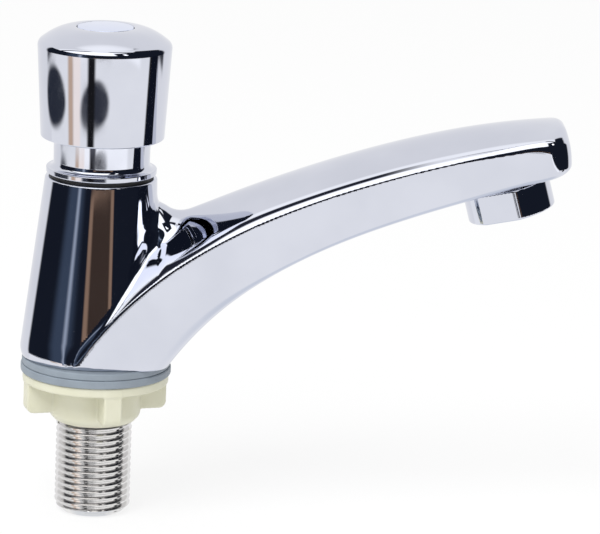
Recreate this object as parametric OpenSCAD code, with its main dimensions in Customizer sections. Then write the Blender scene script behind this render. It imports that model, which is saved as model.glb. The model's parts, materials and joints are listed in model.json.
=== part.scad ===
// Push timed tap: deck-mounted, self-closing, with a one-piece column and spout.
// Millimetres, +Z up, +X along the spout. The origin is on the tail's axis in the deck plane.

/* [Tail and deck stack] */
// Major diameter of the tail thread
thread_d = 20.955; // [19:0.005:22]
// Pitch of the tail thread
thread_pitch = 1.814; // [1:0.001:2.4]
// Depth of the thread from crest to root
thread_depth = 1.16; // [0.5:0.01:1.3]
// Length of tail below the deck plane
tail_below = 42; // [34:1:60]
// Length of tail screwed into the casting
tail_engaged = 12; // [9:0.5:14]
// Bore of the tail
tail_bore_d = 12.5; // [9:0.1:13]
// Bevel round the tail's open end
tail_bevel = 2; // [1:0.1:2.4]
// Diameter of the base gasket
gasket_d = 41; // [36:0.5:46]
// Thickness of the base gasket
gasket_t = 2; // [1:0.1:4]
// Extra diameter of the clamp washer over the base gasket
washer_over = 0.6; // [0:0.1:3]
// Thickness of the clamp washer
washer_t = 2.2; // [1:0.1:4]
// Flange diameter of the back nut
nut_flange_d = 40.4; // [34:0.2:46]
// Flange thickness of the back nut
nut_flange_t = 2.7; // [2:0.1:4]
// Hub diameter of the back nut
nut_hub_d = 25.4; // [25:0.1:30]
// Height of the back nut
nut_h = 13.8; // [11:0.1:18]
// Height of the four finger lugs below the flange
lug_h = 8.4; // [4:0.1:9]
// Width of a finger lug
lug_w = 5; // [3:0.1:8]

/* [Casting] */
// Height of the column's rim above the deck
rim_z = 53; // [51:0.5:62]
// Diameter of the column's rim
rim_d = 30.8; // [30:0.1:36]
// Reach of the base behind the axis
base_back = 21.4; // [20:0.1:25]
// Reach of the base in front of the axis
base_front = 20.8; // [19:0.1:24]
// Half-width of the column's cone at its base
base_side = 17.2; // [16.5:0.1:21]
// Extra half-width of the foot behind the spout
foot_out = 1.4; // [0:0.1:2]
// Half-width of the spout's root
root_side = 18.3; // [17.5:0.1:22]
// Distance from the tail axis to the outlet
spout_reach = 111; // [100:0.5:140]
// Length of spout beyond the outlet axis
spout_over = 17.5; // [15:0.1:24]
// Height of the spout's crown at its tip
tip_z = 72.2; // [66:0.1:84]
// Depth of the spout at its tip
tip_depth = 12.2; // [11.5:0.1:15]
// Half-width of the spout at its tip
tip_side = 15; // [14.5:0.1:18]
// Plan radius of the tip's corners
tip_r = 8.5; // [4:0.1:9]
// Fillet between the column and the spout's crown
neck_r = 6; // [3:0.1:8]
// Bore of the cartridge chamber
chamber_d = 24; // [23:0.1:25]
// Diameter of the waterway along the spout
waterway_d = 9; // [6:0.1:10]

/* [Push head] */
// Travel of the push cap
stroke = 6; // [3:0.1:7]
// Clearance left under the cap at full travel
cap_clear = 1; // [0.6:0.1:4]
// Diameter of the cap's lower edge
cap_low_d = 33.9; // [32:0.1:38]
// Diameter of the cap's shoulder
cap_high_d = 36.8; // [34:0.1:42]
// Height of the cap's side
cap_side_h = 26.2; // [22:0.1:34]
// Rise of the cap's dome
dome_h = 4.4; // [3:0.1:7]
// Wall of the cap
cap_wall = 2; // [1.2:0.1:2.2]
// Thickness of the cap's roof at the centre
roof_t = 5; // [4.6:0.1:7]
// Diameter of the index disc
disc_d = 15.4; // [12:0.1:18]
// Thickness of the index disc
disc_t = 1.6; // [1:0.1:2]
// Outside diameter of the bonnet's sleeve
sleeve_d = 27; // [25:0.1:27.6]
// Diameter of the bonnet's foot flange
foot_flange_d = 30.4; // [28.6:0.1:34]
// Thickness of the bonnet's foot flange
foot_flange_t = 1.6; // [1:0.1:3]
// Thickness of the gasket under the bonnet
bonnet_gasket_t = 1; // [0.6:0.1:2]

/* [Cartridge] */
// Diameter of the stem
stem_d = 8; // [6:0.1:9]
// Diameter of the rod below the stem's shoulder
rod_d = 5; // [3:0.1:5]
// Bore of the valve seat
seat_d = 10; // [9:0.1:11]
// Diameter of the outlet ports
port_d = 4.4; // [3:0.1:5]
// Number of outlet ports
port_count = 6; // [3:1:8]
// Thickness of the piston
piston_t = 3; // [2:0.1:4]
// Height of the cup seal
cup_h = 3.3; // [2.4:0.1:4]
// Mean diameter of the return spring
spring_d = 16.4; // [15.6:0.1:18.6]
// Wire diameter of the return spring
wire_d = 1.4; // [0.8:0.1:1.8]
// Turns of the return spring
spring_turns = 7; // [4:1:8]
// Section of the sealing rings
ring_section = 1.8; // [1.4:0.1:2]

/* [Outlet] */
// Outside diameter of the aerator shell
aerator_d = 24.2; // [23:0.1:26]
// Width across the aerator's two wrench flats
aerator_flats = 22; // [20.5:0.1:23]
// Length of aerator showing below the spout
aerator_show = 8.8; // [6:0.1:12]
// Diameter of the aerator's thread
aerator_thread_d = 21.8; // [20:0.1:22]
// Length of the aerator's thread
aerator_thread_h = 6.8; // [5:0.1:7]
// Tilt of the outlet axis away from the column
outlet_tilt = 15.5; // [10:0.1:20]
// Radius of a hole in the outlet plate
plate_hole_r = 0.75; // [0.4:0.05:0.8]

/* [Fits] */
// Radial gap of a piece that is screwed or pushed into another
fit_gap = 0.15; // [0.1:0.01:0.2]
// Radial gap of a piece that slides in another
slide_gap = 0.06; // [0.04:0.01:0.08]

/* [Hidden] */
$fn = 96;

// Colours of the finishes
chrome = [0.80, 0.81, 0.85];
brass = [0.78, 0.65, 0.32];
steel = [0.72, 0.71, 0.69];
rubber_grey = [0.53, 0.60, 0.66];
rubber_black = [0.08, 0.08, 0.09];
ivory = [0.88, 0.87, 0.76];
white_plastic = [0.90, 0.91, 0.92];
index_face = [0.84, 0.87, 0.95];

// Radial gap of a piece pressed or screwed on another, and the overrun of a cut
press_gap = 0.02;
over = 1;

// Levels in the casting, from the deck upwards
base_z = gasket_t;
tail_top = base_z + tail_engaged;
tail_seal_t = 2;
socket_top = tail_top + tail_seal_t;
ledge_t = 3;
ledge_top = socket_top + ledge_t;
seat_gasket_t = 1.5;
housing_z = ledge_top + seat_gasket_t;

// Levels in the cartridge, from the rim downwards
gland_below_rim = 3.5;
housing_top = rim_z - gland_below_rim;
cup_head = 0.7;
cup_z = housing_top - cup_head - cup_h;
piston_z = cup_z - piston_t;
port_margin = 0.6;
port_z = piston_z - stroke - port_margin - port_d / 2;
seat_top = port_z - port_d / 2 - port_margin;
seat_t = 3;
seat_z = seat_top - seat_t;
valve_seal_t = 2;
valve_disc_t = 2;
stem_nut_h = 4;
stem_nut_wall = 2.1;
rod_over_nut = 1;
rod_end = seat_z - valve_seal_t - valve_disc_t - stem_nut_h - rod_over_nut;
skirt_h = 5.5;
shoulder_z = housing_top - skirt_h;

// Levels in the push head
flange_z = rim_z + bonnet_gasket_t;
flange_top = flange_z + foot_flange_t;
flare_h = 1.4;
gland_rise = 1.8;
gland_top = flange_top + gland_rise;
cap_z = flange_top + flare_h + stroke + cap_clear;
shoulder_cap_z = cap_z + cap_side_h;
cap_top = shoulder_cap_z + dome_h;
roof_z = cap_top - roof_t;
sleeve_head = 4;
sleeve_top = roof_z - stroke - sleeve_head;
boss_h = 6;
stem_top = roof_z - boss_h;

// Radii in the cartridge, from the chamber inwards
chamber_r = chamber_d / 2;
housing_r = chamber_r - fit_gap;
skirt_t = 1.5;
housing_wall = 1.6;
housing_neck_r = housing_r - skirt_t - fit_gap;
cylinder_r = housing_neck_r - housing_wall;
gallery_wall = 1.7;
gallery_r = cylinder_r + gallery_wall;
seat_r = seat_d / 2;
seat_overlap = 1.6;
valve_r = seat_r + seat_overlap;
valve_disc_rim = 0.4;
valve_disc_r = valve_r + valve_disc_rim;
stem_r = stem_d / 2;
rod_r = rod_d / 2;
rod_bore_r = rod_r + press_gap;
spacer_wall = 1;
spacer_r = rod_r + spacer_wall;
groove_h = ring_section + 0.4;
pin_r = 0.4;
pin_hole_r = 0.7;
pin_at = (rod_r + cylinder_r) / 2;

// Radii in the push head
sleeve_r = sleeve_d / 2;
sleeve_wall = 2;
sleeve_bore_r = sleeve_r - sleeve_wall;
cap_low_r = cap_low_d / 2;
cap_high_r = cap_high_d / 2;
cap_edge_r = 0.5;
shoulder_r = 2.2;
boss_gap = 1;
boss_r = spring_d / 2 - wire_d / 2 - boss_gap;
disc_r = disc_d / 2;
screw_r = 2;
screw_head_r = 3.6;
screw_head_h = 2;
screw_grip = 7;

// Tail, thread and deck stack
washer_d = gasket_d + washer_over;
thread_r = thread_d / 2;
thread_root_r = thread_r - thread_depth;
tail_bore_r = tail_bore_d / 2;
strainer_step = 1;
strainer_r = tail_bore_r + strainer_step;
strainer_t = 2.5;
strainer_rise = 3;
strainer_z = base_z + strainer_rise;

// Shapes of the casting's three ruling curves, seen from the side: Bezier points [x, z]
tip_x = spout_reach + spout_over;
neck_x = rim_d / 2 + 0.6;
neck_z = rim_z - 11.5;
crown_curve = [[neck_x, neck_z], [neck_x + 6.5, neck_z + 0.3], [tip_x - 45.5, tip_z + 0.8], [tip_x, tip_z]];
crease_x = -6;
crease_least = 1;
crease_curve = [[crease_x, base_z + 1], [crease_x + 22, base_z + 36],
                [tip_x - 71.5, tip_z - 16.4], [tip_x, tip_z - 2.2]];
under_curve = [[base_front - 1, base_z + 0.3], [base_front + 21, base_z + 31.8],
               [tip_x - 59, tip_z - tip_depth - 17.3], [tip_x, tip_z - tip_depth]];
crease_lift = 0.7;
crease_tilt = 36;
level_power = 2.2;
front_power = 3.2;
foot_r = 1.1;
foot_h = 7;
foot_end = 6;
foot_fade = 8;
under_r = 2.4;
tip_top_r = 4;
tip_top_steep = 2;
tip_low_r = 1.5;
draft_root = 2;
draft_tip = 12;
draft_end = 1;
draft_end_l = 14;
draft_end_at = 20.5;
// Cross-section of the top: roof-like beside the column, an even crown further out
ridge_sharp = 0.2;
crown_flat = 3;
crown_start = 2;
crown_run = 32;
shelf_slope = 0.75;
shelf_gain = 0.01;
shelf_end_gain = 0.07;
rim_r = rim_d / 2;
ridge_half = 0.3;

// Outlet axis, a point on the underside and a local frame with -Z out of the spout
outlet_gap = 0.4;
washer_h = 1.5;
socket_h = aerator_thread_h + outlet_gap + washer_h;
aerator_thread_r = aerator_thread_d / 2;
aerator_bore_r = aerator_thread_r - 1.6;
lip_h = 1;
lip_r = aerator_bore_r - 0.9;
plate_t = 1;
insert_h = 7;
filter_t = 1.2;

function mix(a, b, t) = a + (b - a) * t;
function clamp(v, lo, hi) = min(max(v, lo), hi);
function ease(t) = let (u = clamp(t, 0, 1)) u * u * (3 - 2 * u);
// Depth of a quarter-round of radius r at distance d from its edge
function quarter_round(r, d) = d >= r ? 0 : r - sqrt(r * r - (r - max(d, 0)) ^ 2);
function bezier(p, t) = (1 - t) ^ 3 * p[0] + 3 * t * (1 - t) ^ 2 * p[1]
                        + 3 * t ^ 2 * (1 - t) * p[2] + t ^ 3 * p[3];
function bezier_at(p, x, lo = 0, hi = 1, n = 20) =
    n == 0 ? bezier(p, (lo + hi) / 2)[1]
    : bezier(p, (lo + hi) / 2)[0] < x ? bezier_at(p, x, (lo + hi) / 2, hi, n - 1)
    : bezier_at(p, x, lo, (lo + hi) / 2, n - 1);

// Column: an oval base, squarer in front, that draws in to the round rim
function column_share(z) = clamp((z - base_z) / (rim_z - base_z), 0, 1);
function column_reach(base, z) = mix(base, rim_r, column_share(z)) - quarter_round(foot_r, z - base_z);
function foot_flare(x, z) = foot_out * ease((base_z + foot_h - z) / foot_h) * ease((foot_end - x) / foot_fade);
function column_half(x, z) = let (
        reach = column_reach(x < 0 ? base_back : base_front, z),
        n = x < 0 ? 2 : mix(front_power, 2, column_share(z)),
        u = abs(x) / reach)
    u >= 1 ? 0 : (column_reach(base_side, z) + foot_flare(x, z)) * (1 - u ^ n) ^ (1 / n);
function column_top(x) = let (base = x < 0 ? base_back : base_front)
    abs(x) <= rim_r ? rim_z : base_z + (rim_z - base_z) * clamp((base - abs(x)) / (base - rim_r), 0, 1);

// Spout: a crowned top, a bevelled crease, drafted sides below it and a rounded tip
function tip_inset(r, x, steep = 1) = quarter_round(r, (tip_x - x) * steep);
function crown(x) = bezier_at(crown_curve, max(x, neck_x)) - tip_inset(tip_top_r, x, tip_top_steep);
function under(x) = (x < under_curve[0][0] ? base_z : bezier_at(under_curve, x)) + tip_inset(tip_low_r, x);
function crease(x) = min(bezier_at(crease_curve, max(x, crease_x)), crown(x) - crease_least);
function spout_side(x) = x < 0 ? root_side * sqrt(1 - (x / base_back) ^ 2)
                         : mix(root_side, tip_side, clamp(x / tip_x, 0, 1)) - tip_inset(tip_r, x);
function side_draft(x) = tan(mix(mix(draft_root, draft_tip, clamp(x / tip_x, 0, 1)), draft_end,
                                 ease((x - tip_x + draft_end_at) / draft_end_l)));
function neck_fillet(x, y) = quarter_round(neck_r, norm([x, y]) - column_reach(base_front, neck_z));
function top_flat(x) = ridge_sharp * (crown_flat / ridge_sharp) ^ ease((x - neck_x - crown_start) / crown_run);
function top_share(u, k) = (sqrt(u * u + k * k) - k) / (sqrt(1 + k * k) - k);
function shelf_rise(x) = let (k = top_flat(x), full = sqrt(1 + k * k) - k)
    (shelf_slope + shelf_gain * max(neck_x - x, 0) + shelf_end_gain * max(x - neck_x, 0))
    * spout_side(x) * full * sqrt(1 + k * k);
function top_low(x) = min(crease(x) + crease_lift, crown(x) - crease_least / 2);
function spout_top(x, y) = let (low = top_low(x), rise = min(crown(x) - low, shelf_rise(x)))
    low + rise * (1 - top_share(min(y / spout_side(x), 1), top_flat(x))) + neck_fillet(x, y);
function top_half(x, z, lo, hi, n = 16) =
    n == 0 ? (lo + hi) / 2
    : spout_top(x, (lo + hi) / 2) > z ? top_half(x, z, (lo + hi) / 2, hi, n - 1)
    : top_half(x, z, lo, (lo + hi) / 2, n - 1);
function spout_half(x, z) =
    x <= crease_x || z < under(x) || z > spout_top(x, 0) ? 0
    : z > crease(x) ? min(top_half(x, z, 0, spout_side(x)), spout_side(x) - (z - crease(x)) * tan(crease_tilt))
    : spout_side(x) - (crease(x) - z) * side_draft(x)
      - quarter_round(x < base_front ? foot_r : under_r, z - under(x));

// One cross-section of the casting at x, as a ring of points
low_steps = 5;
high_steps = 10;
knee_least = 0.1;
function section_low(x) = x < 0 ? base_z + quarter_round(foot_r, base_back + x) : under(x);
function section_top(x) = max(column_top(x), x > crease_x ? spout_top(x, 0) : 0);
function section_break(x) = let (low = section_low(x), top = section_top(x))
    clamp(x <= crease_x ? low : crease(x), mix(low, top, knee_least), mix(low, top, 1 - knee_least));
function section_levels(x) = let (
        low = section_low(x),
        top = section_top(x),
        knee = section_break(x),
        round_share = clamp((x - neck_start) / (neck_end - neck_start), 0, 1))
    [for (i = [0 : low_steps - 1]) mix(low, knee, 1 - cos(90 * i / low_steps)),
     for (i = [0 : high_steps]) let (u = i / high_steps)
         mix(knee, top, mix(u, 1 - (1 - u) ^ level_power, round_share))];
function section_half(x, z) = max(column_half(x, z), spout_half(x, z), ridge_half);
function section_ring(x) = let (z = section_levels(x), n = len(z))
    [for (i = [0 : n - 1]) [x, section_half(x, z[i]), z[i]],
     for (i = [n - 1 : -1 : 0]) [x, -section_half(x, z[i]), z[i]]];

// Stations along the casting, closer together where it curves
back_cut = 8;
tip_cut = 88;
neck_start = rim_r - 2;
neck_end = base_front + 4;
stations = [for (i = [0 : 12]) -base_back * cos(mix(back_cut, 90, i / 12)),
            for (i = [1 : 7]) neck_start * i / 7,
            for (i = [1 : 10]) mix(neck_start, neck_end, i / 10),
            for (i = [1 : 16]) mix(neck_end, tip_x - tip_r, i / 16),
            for (i = [1 : 6]) tip_x - tip_r * (1 - sin(tip_cut * i / 6))];

// Closed skin over a list of rings that all have the same even number of points
module skin(rings) {
    n = len(rings[0]);
    m = len(rings);
    points = [for (ring = rings) for (p = ring) p];
    sides = [for (i = [0 : m - 2]) for (j = [0 : n - 1])
             let (k = (j + 1) % n, a = i * n + j, b = i * n + k, c = b + n, d = a + n)
             each [[a, b, c], [a, c, d]]];
    last = (m - 1) * n;
    ends = [for (j = [0 : n / 2 - 2]) let (a = j, b = j + 1, c = n - 2 - j, d = n - 1 - j)
            each [[a, c, b], [a, d, c],
                  [last + a, last + b, last + c], [last + a, last + c, last + d]]];
    polyhedron(points = points, faces = concat(sides, ends), convexity = 6);
}

// Flat ring from level z, of height h
module ring(outer_r, inner_r, z, h) {
    translate([0, 0, z]) difference() {
        cylinder(r = outer_r, h = h);
        translate([0, 0, -over]) cylinder(r = inner_r, h = h + 2 * over);
    }
}

// Centre hole and rings of holes in a flat disc, for a cut that runs up from level z
module hole_rings(hole_r, last_ring_r, rows, z, h) {
    translate([0, 0, z]) cylinder(r = hole_r, h = h, $fn = 24);
    for (k = [1 : rows]) for (a = [0 : 60 / k : 359])
        rotate(a) translate([k * last_ring_r / rows, 0, z]) cylinder(r = hole_r, h = h, $fn = 24);
}

// Round sealing ring that lies just clear of the radius inner_r, centred on level z
module sealing_ring(inner_r, z) {
    half = ring_section / 2;
    clear = 0.04;
    translate([0, 0, z]) rotate_extrude() translate([inner_r + half, 0]) circle(r = half - clear, $fn = 32);
}

// Places its children on the outlet axis, with +Z into the spout and zero at the underside
module at_outlet() {
    translate([spout_reach, 0, under(spout_reach)]) rotate([0, -outlet_tilt, 0]) children();
}

// One chrome casting: column and spout, with the cartridge chamber and the drilled waterway
waterway_inset = 4;
waterway_drop = 4.8;
waterway_low = 0.8;
waterway_start = [chamber_r - waterway_inset, port_z - waterway_drop];
waterway_end = [spout_reach - sin(outlet_tilt) * socket_h,
                under(spout_reach) + cos(outlet_tilt) * socket_h - waterway_low];
module tap_body() {
    run = waterway_end - waterway_start;
    below = 20;
    color(chrome) difference() {
        skin([for (x = stations) section_ring(x)]);
        translate([0, 0, ledge_top]) cylinder(r = chamber_r, h = rim_z);
        translate([0, 0, socket_top - over]) cylinder(r = cylinder_r, h = ledge_t + 2 * over);
        translate([0, 0, base_z - over]) cylinder(r = thread_r + fit_gap, h = socket_top - base_z + over);
        translate([waterway_start[0], 0, waterway_start[1]])
            rotate([0, atan2(run[0], run[1]), 0]) cylinder(d = waterway_d, h = norm(run));
        at_outlet() translate([0, 0, -below]) cylinder(r = aerator_thread_r + fit_gap, h = below + socket_h);
    }
}

// Threaded tail with its water bore and the strainer's counterbore
module threaded_tail() {
    land = thread_pitch / 6;
    flank = thread_pitch / 2 - land;
    start = -tail_below + tail_bevel;
    count = floor((tail_top - start) / thread_pitch);
    ridges = [for (i = [0 : count - 1]) let (z = start + i * thread_pitch)
              each [[thread_root_r, z], [thread_r, z + flank], [thread_r, z + flank + land],
                    [thread_root_r, z + 2 * flank + land]]];
    profile = concat([[tail_bore_r, -tail_below], [thread_root_r - tail_bevel / 2, -tail_below]], ridges,
                     [[thread_root_r, tail_top], [strainer_r + fit_gap, tail_top],
                      [strainer_r + fit_gap, strainer_z], [tail_bore_r, strainer_z]]);
    color(steel) rotate_extrude() polygon(profile);
}

module tail_seal() {
    color(rubber_black) ring(thread_r, strainer_r + 2 * fit_gap, tail_top, tail_seal_t);
}

// Strainer cup that rests on the counterbore's step
module inlet_strainer() {
    floor_t = 0.8;
    wall = 0.8;
    hole_r = 0.55;
    margin = 0.9;
    color(steel) difference() {
        translate([0, 0, strainer_z]) cylinder(r = strainer_r, h = strainer_t);
        translate([0, 0, strainer_z + floor_t]) cylinder(r = strainer_r - wall, h = strainer_t);
        hole_rings(hole_r, tail_bore_r - margin, 3, strainer_z - over, floor_t + 2 * over);
    }
}

module base_gasket() {
    color(rubber_grey) ring(gasket_d / 2, thread_r + fit_gap, 0, gasket_t);
}

module clamp_washer() {
    color(rubber_grey) ring(washer_d / 2, thread_r + 2 * fit_gap, -washer_t, washer_t);
}

// Plastic back nut: flange, bevelled hub and four finger lugs
module back_nut() {
    hub_r = nut_hub_d / 2;
    bevel = 1.9;
    bevel_in = 1.7;
    corner = 2;
    sink = 0.5;
    lug_r = nut_flange_d / 2 - 0.3;
    lug_root_r = hub_r - 1.2;
    lug_low = -nut_flange_t - lug_h;
    lug_turn = 15;
    lug = [[lug_root_r, -sink], [lug_root_r, lug_low],
           for (a = [-90 : 15 : 0]) [lug_r + corner * (cos(a) - 1), lug_low + corner * (sin(a) + 1)],
           [lug_r, -sink]];
    color(ivory) translate([0, 0, -washer_t]) difference() {
        union() {
            translate([0, 0, -nut_flange_t]) cylinder(d = nut_flange_d, h = nut_flange_t);
            translate([0, 0, -nut_h + bevel]) cylinder(r = hub_r, h = nut_h - bevel);
            translate([0, 0, -nut_h]) cylinder(r1 = hub_r - bevel_in, r2 = hub_r, h = bevel);
            for (k = [0 : 3]) rotate([90, 0, lug_turn + 90 * k])
                linear_extrude(lug_w, center = true) polygon(lug);
        }
        translate([0, 0, -nut_h - over]) cylinder(r = thread_r + 2 * fit_gap, h = nut_h + 2 * over);
    }
}

module seat_gasket() {
    color(rubber_black) ring(housing_r, cylinder_r + fit_gap, ledge_top, seat_gasket_t);
}

// Cartridge housing: inlet skirt, valve seat, ported gallery and the timing cylinder
ring_groove_z = housing_z + 3;
module cartridge_housing() {
    gallery_low = seat_top - port_margin;
    gallery_high = port_z + port_d / 2 + 2 * port_margin;
    groove_r = chamber_r - ring_section;
    color(brass) difference() {
        rotate_extrude() polygon([
            [cylinder_r, housing_z], [housing_r, housing_z],
            [housing_r, ring_groove_z - groove_h / 2], [groove_r, ring_groove_z - groove_h / 2],
            [groove_r, ring_groove_z + groove_h / 2], [housing_r, ring_groove_z + groove_h / 2],
            [housing_r, gallery_low], [gallery_r, gallery_low], [gallery_r, gallery_high],
            [housing_r, gallery_high], [housing_r, shoulder_z], [housing_neck_r, shoulder_z],
            [housing_neck_r, housing_top], [cylinder_r, housing_top], [cylinder_r, seat_top],
            [seat_r, seat_top], [seat_r, seat_z], [cylinder_r, seat_z]]);
        for (k = [0 : port_count - 1]) rotate(360 * k / port_count) translate([0, 0, port_z])
            rotate([0, 90, 0]) cylinder(d = port_d, h = chamber_d, $fn = 48);
    }
}

module housing_ring() {
    color(rubber_black) sealing_ring(chamber_r - ring_section, ring_groove_z);
}

// Rubber face that closes the seat from below
module valve_seal() {
    color(rubber_black) ring(valve_r, rod_bore_r, seat_z - valve_seal_t, valve_seal_t);
}

module valve_disc() {
    color(brass) ring(valve_disc_r, rod_bore_r, seat_z - valve_seal_t - valve_disc_t, valve_disc_t);
}

module stem_nut() {
    low = seat_z - valve_seal_t - valve_disc_t - stem_nut_h;
    color(brass) translate([0, 0, low]) difference() {
        cylinder(r = rod_r + stem_nut_wall, h = stem_nut_h, $fn = 6);
        translate([0, 0, -over]) cylinder(r = rod_bore_r, h = stem_nut_h + 2 * over);
    }
}

// Tube that spaces the valve from the piston
module spacer_sleeve() {
    color(brass) ring(spacer_r, rod_bore_r, seat_z, piston_z - seat_z);
}

// Piston and cup share one hole for the metering pin
module pin_hole(z, h) {
    translate([pin_at, 0, z - over]) cylinder(r = pin_hole_r, h = h + 2 * over, $fn = 32);
}

module piston() {
    color(brass) difference() {
        ring(cylinder_r - 2 * fit_gap, rod_bore_r, piston_z, piston_t);
        pin_hole(piston_z, piston_t);
    }
}

module cup_seal() {
    lip_t = 1;
    lip_lean = 0.4;
    base_t = 1.2;
    lip_r = cylinder_r - slide_gap;
    top = cup_z + cup_h;
    color(rubber_black) difference() {
        rotate_extrude() polygon([
            [rod_bore_r, cup_z], [lip_r - lip_lean, cup_z], [lip_r, top], [lip_r - lip_t, top],
            [lip_r - lip_t - lip_lean, cup_z + base_t], [stem_r, cup_z + base_t], [stem_r, top],
            [rod_bore_r, top]]);
        pin_hole(cup_z, base_t);
    }
}

// Stem with its shoulder, the rod below it and the screw's tapped hole
module plunger_stem() {
    step_z = cup_z + cup_h;
    tap_depth = screw_grip + 1;
    color(steel) difference() {
        union() {
            translate([0, 0, rod_end]) cylinder(r = rod_r, h = step_z - rod_end + over);
            translate([0, 0, step_z]) cylinder(r = stem_r, h = stem_top - step_z);
        }
        translate([0, 0, stem_top - tap_depth]) cylinder(r = screw_r + press_gap, h = tap_depth + over);
    }
}

// Fine pin, fixed in the gland, that meters the water leaving the timing cylinder
pin_seat = 2;
pin_tail = 0.5;
module metering_pin() {
    low = piston_z - stroke - pin_tail;
    color(steel) translate([pin_at, 0, low]) cylinder(r = pin_r, h = housing_top + pin_seat - low, $fn = 32);
}

// Bonnet: threaded skirt, stem gland, foot flange and the sleeve that rises inside the cap
stem_ring_z = rim_z;
module bonnet() {
    flange_r = foot_flange_d / 2;
    edge = 0.4;
    gland_r = stem_r + slide_gap;
    groove_r = gland_r + ring_section;
    skirt_r = housing_neck_r + fit_gap;
    flare_r = flange_r - edge;
    flare = [for (a = [0 : 15 : 90])
             [flare_r - (flare_r - sleeve_r) * sin(a), flange_top + flare_h * (1 - cos(a))]];
    color(chrome) difference() {
        rotate_extrude() polygon(concat(
            [[gland_r, housing_top], [skirt_r, housing_top], [skirt_r, shoulder_z], [housing_r, shoulder_z],
             [housing_r, flange_z], [flange_r - edge, flange_z], [flange_r, flange_z + edge],
             [flange_r, flange_top - edge]],
            flare,
            [[sleeve_r, sleeve_top - edge], [sleeve_r - edge, sleeve_top], [sleeve_bore_r, sleeve_top],
             [sleeve_bore_r, gland_top], [gland_r, gland_top],
             [gland_r, stem_ring_z + groove_h / 2], [groove_r, stem_ring_z + groove_h / 2],
             [groove_r, stem_ring_z - groove_h / 2], [gland_r, stem_ring_z - groove_h / 2]]));
        translate([pin_at, 0, housing_top - over])
            cylinder(r = pin_r + press_gap, h = pin_seat + over, $fn = 32);
    }
}

module bonnet_gasket() {
    inset = 0.8;
    color(rubber_black) ring(foot_flange_d / 2 - inset, chamber_r, rim_z, bonnet_gasket_t);
}

module stem_ring() {
    color(rubber_black) sealing_ring(stem_r + slide_gap, stem_ring_z);
}

// Return spring: one unbroken wire, closer at both ends, swept as a six-sided tube
spring_low = gland_top + wire_d / 2;
spring_high = roof_z - wire_d / 2;
spring_rings = 8 * spring_turns;
function coil_point(i) = let (u = i / spring_rings, a = 360 * spring_turns * u)
    [spring_d / 2 * cos(a), spring_d / 2 * sin(a), mix(spring_low, spring_high, u)];
function coil_section(i) = let (
        a = 360 * spring_turns * i / spring_rings,
        out = [cos(a), sin(a), 0],
        along = coil_point(i + 0.5) - coil_point(i - 0.5),
        side = cross(along / norm(along), out))
    [for (k = [0 : 5]) coil_point(i) + wire_d / 2 * (cos(60 * k) * out + sin(60 * k) * side)];
spring_gap = min([for (i = [0 : spring_rings - 5]) for (j = [i + 5 : spring_rings])
                  norm(coil_point(i) - coil_point(j))]) - wire_d;
echo(least_gap_of_return_spring = spring_gap);
module return_spring() {
    color(steel) skin([for (i = [spring_rings : -1 : 0]) coil_section(i)]);
}

// Push cap: tapered side, domed roof with the disc's recess, and the boss that takes the stem
module push_cap() {
    recess_r = disc_r + fit_gap;
    recess_z = cap_top - disc_t;
    recess_edge = 0.35;
    head_r = screw_head_r + fit_gap;
    hole_r = screw_r + fit_gap;
    head_z = recess_z - screw_head_h;
    inner_low = cap_low_r - cap_wall;
    inner_high = inner_low + (cap_high_r - cap_low_r) * (roof_z - cap_z) / cap_side_h;
    inner_bevel = 1;
    shoulder_turn = 60;
    shoulder_drop = 1;
    dome_power = 2.1;
    dome_steps = 12;
    edge = [for (a = [-90 : 15 : 0])
            [cap_low_r + cap_edge_r * (cos(a) - 1), cap_z + cap_edge_r * (sin(a) + 1)]];
    shoulder = [for (a = [0 : 15 : shoulder_turn])
                [cap_high_r + shoulder_r * (cos(a) - 1),
                 shoulder_cap_z - shoulder_drop + shoulder_r * sin(a)]];
    start = shoulder[len(shoulder) - 1];
    dome = [for (k = [1 : dome_steps]) let (u = k / dome_steps)
            [mix(start[0], recess_r + recess_edge, u),
             mix(start[1], cap_top, 1 - (1 - u) ^ dome_power)]];
    color(chrome) rotate_extrude() polygon(concat(
        [[inner_low, cap_z]], edge, shoulder, dome,
        [[recess_r, cap_top - recess_edge], [recess_r, recess_z], [head_r, recess_z], [head_r, head_z],
         [hole_r, head_z], [hole_r, stem_top], [boss_r, stem_top], [boss_r, roof_z],
         [inner_high - inner_bevel, roof_z], [inner_high, roof_z - inner_bevel]]));
}

// Cross-slot screw that holds the cap to the stem
module cap_screw() {
    head_z = cap_top - disc_t - screw_head_h;
    head_gap = 0.1;
    slot_w = 0.9;
    slot_h = 1.1;
    slot_l = 4.8;
    color(steel) difference() {
        union() {
            translate([0, 0, stem_top - screw_grip])
                cylinder(r = screw_r, h = head_z - stem_top + screw_grip + over);
            translate([0, 0, head_z]) cylinder(r = screw_head_r, h = screw_head_h - head_gap);
        }
        for (a = [0, 90]) rotate(a) translate([-slot_l / 2, -slot_w / 2, head_z + screw_head_h - slot_h])
            cube([slot_l, slot_w, slot_h]);
    }
}

// Plain disc that covers the screw, slightly crowned
module index_disc() {
    edge = 0.3;
    crown_h = 0.25;
    low = cap_top - disc_t;
    color(index_face) rotate_extrude() polygon([
        [0, low], [disc_r, low], [disc_r, cap_top - edge], [disc_r - edge, cap_top],
        for (k = [1 : 5]) [(disc_r - edge) * (1 - k / 5), cap_top + crown_h * (1 - (1 - k / 5) ^ 2)]]);
}

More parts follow.
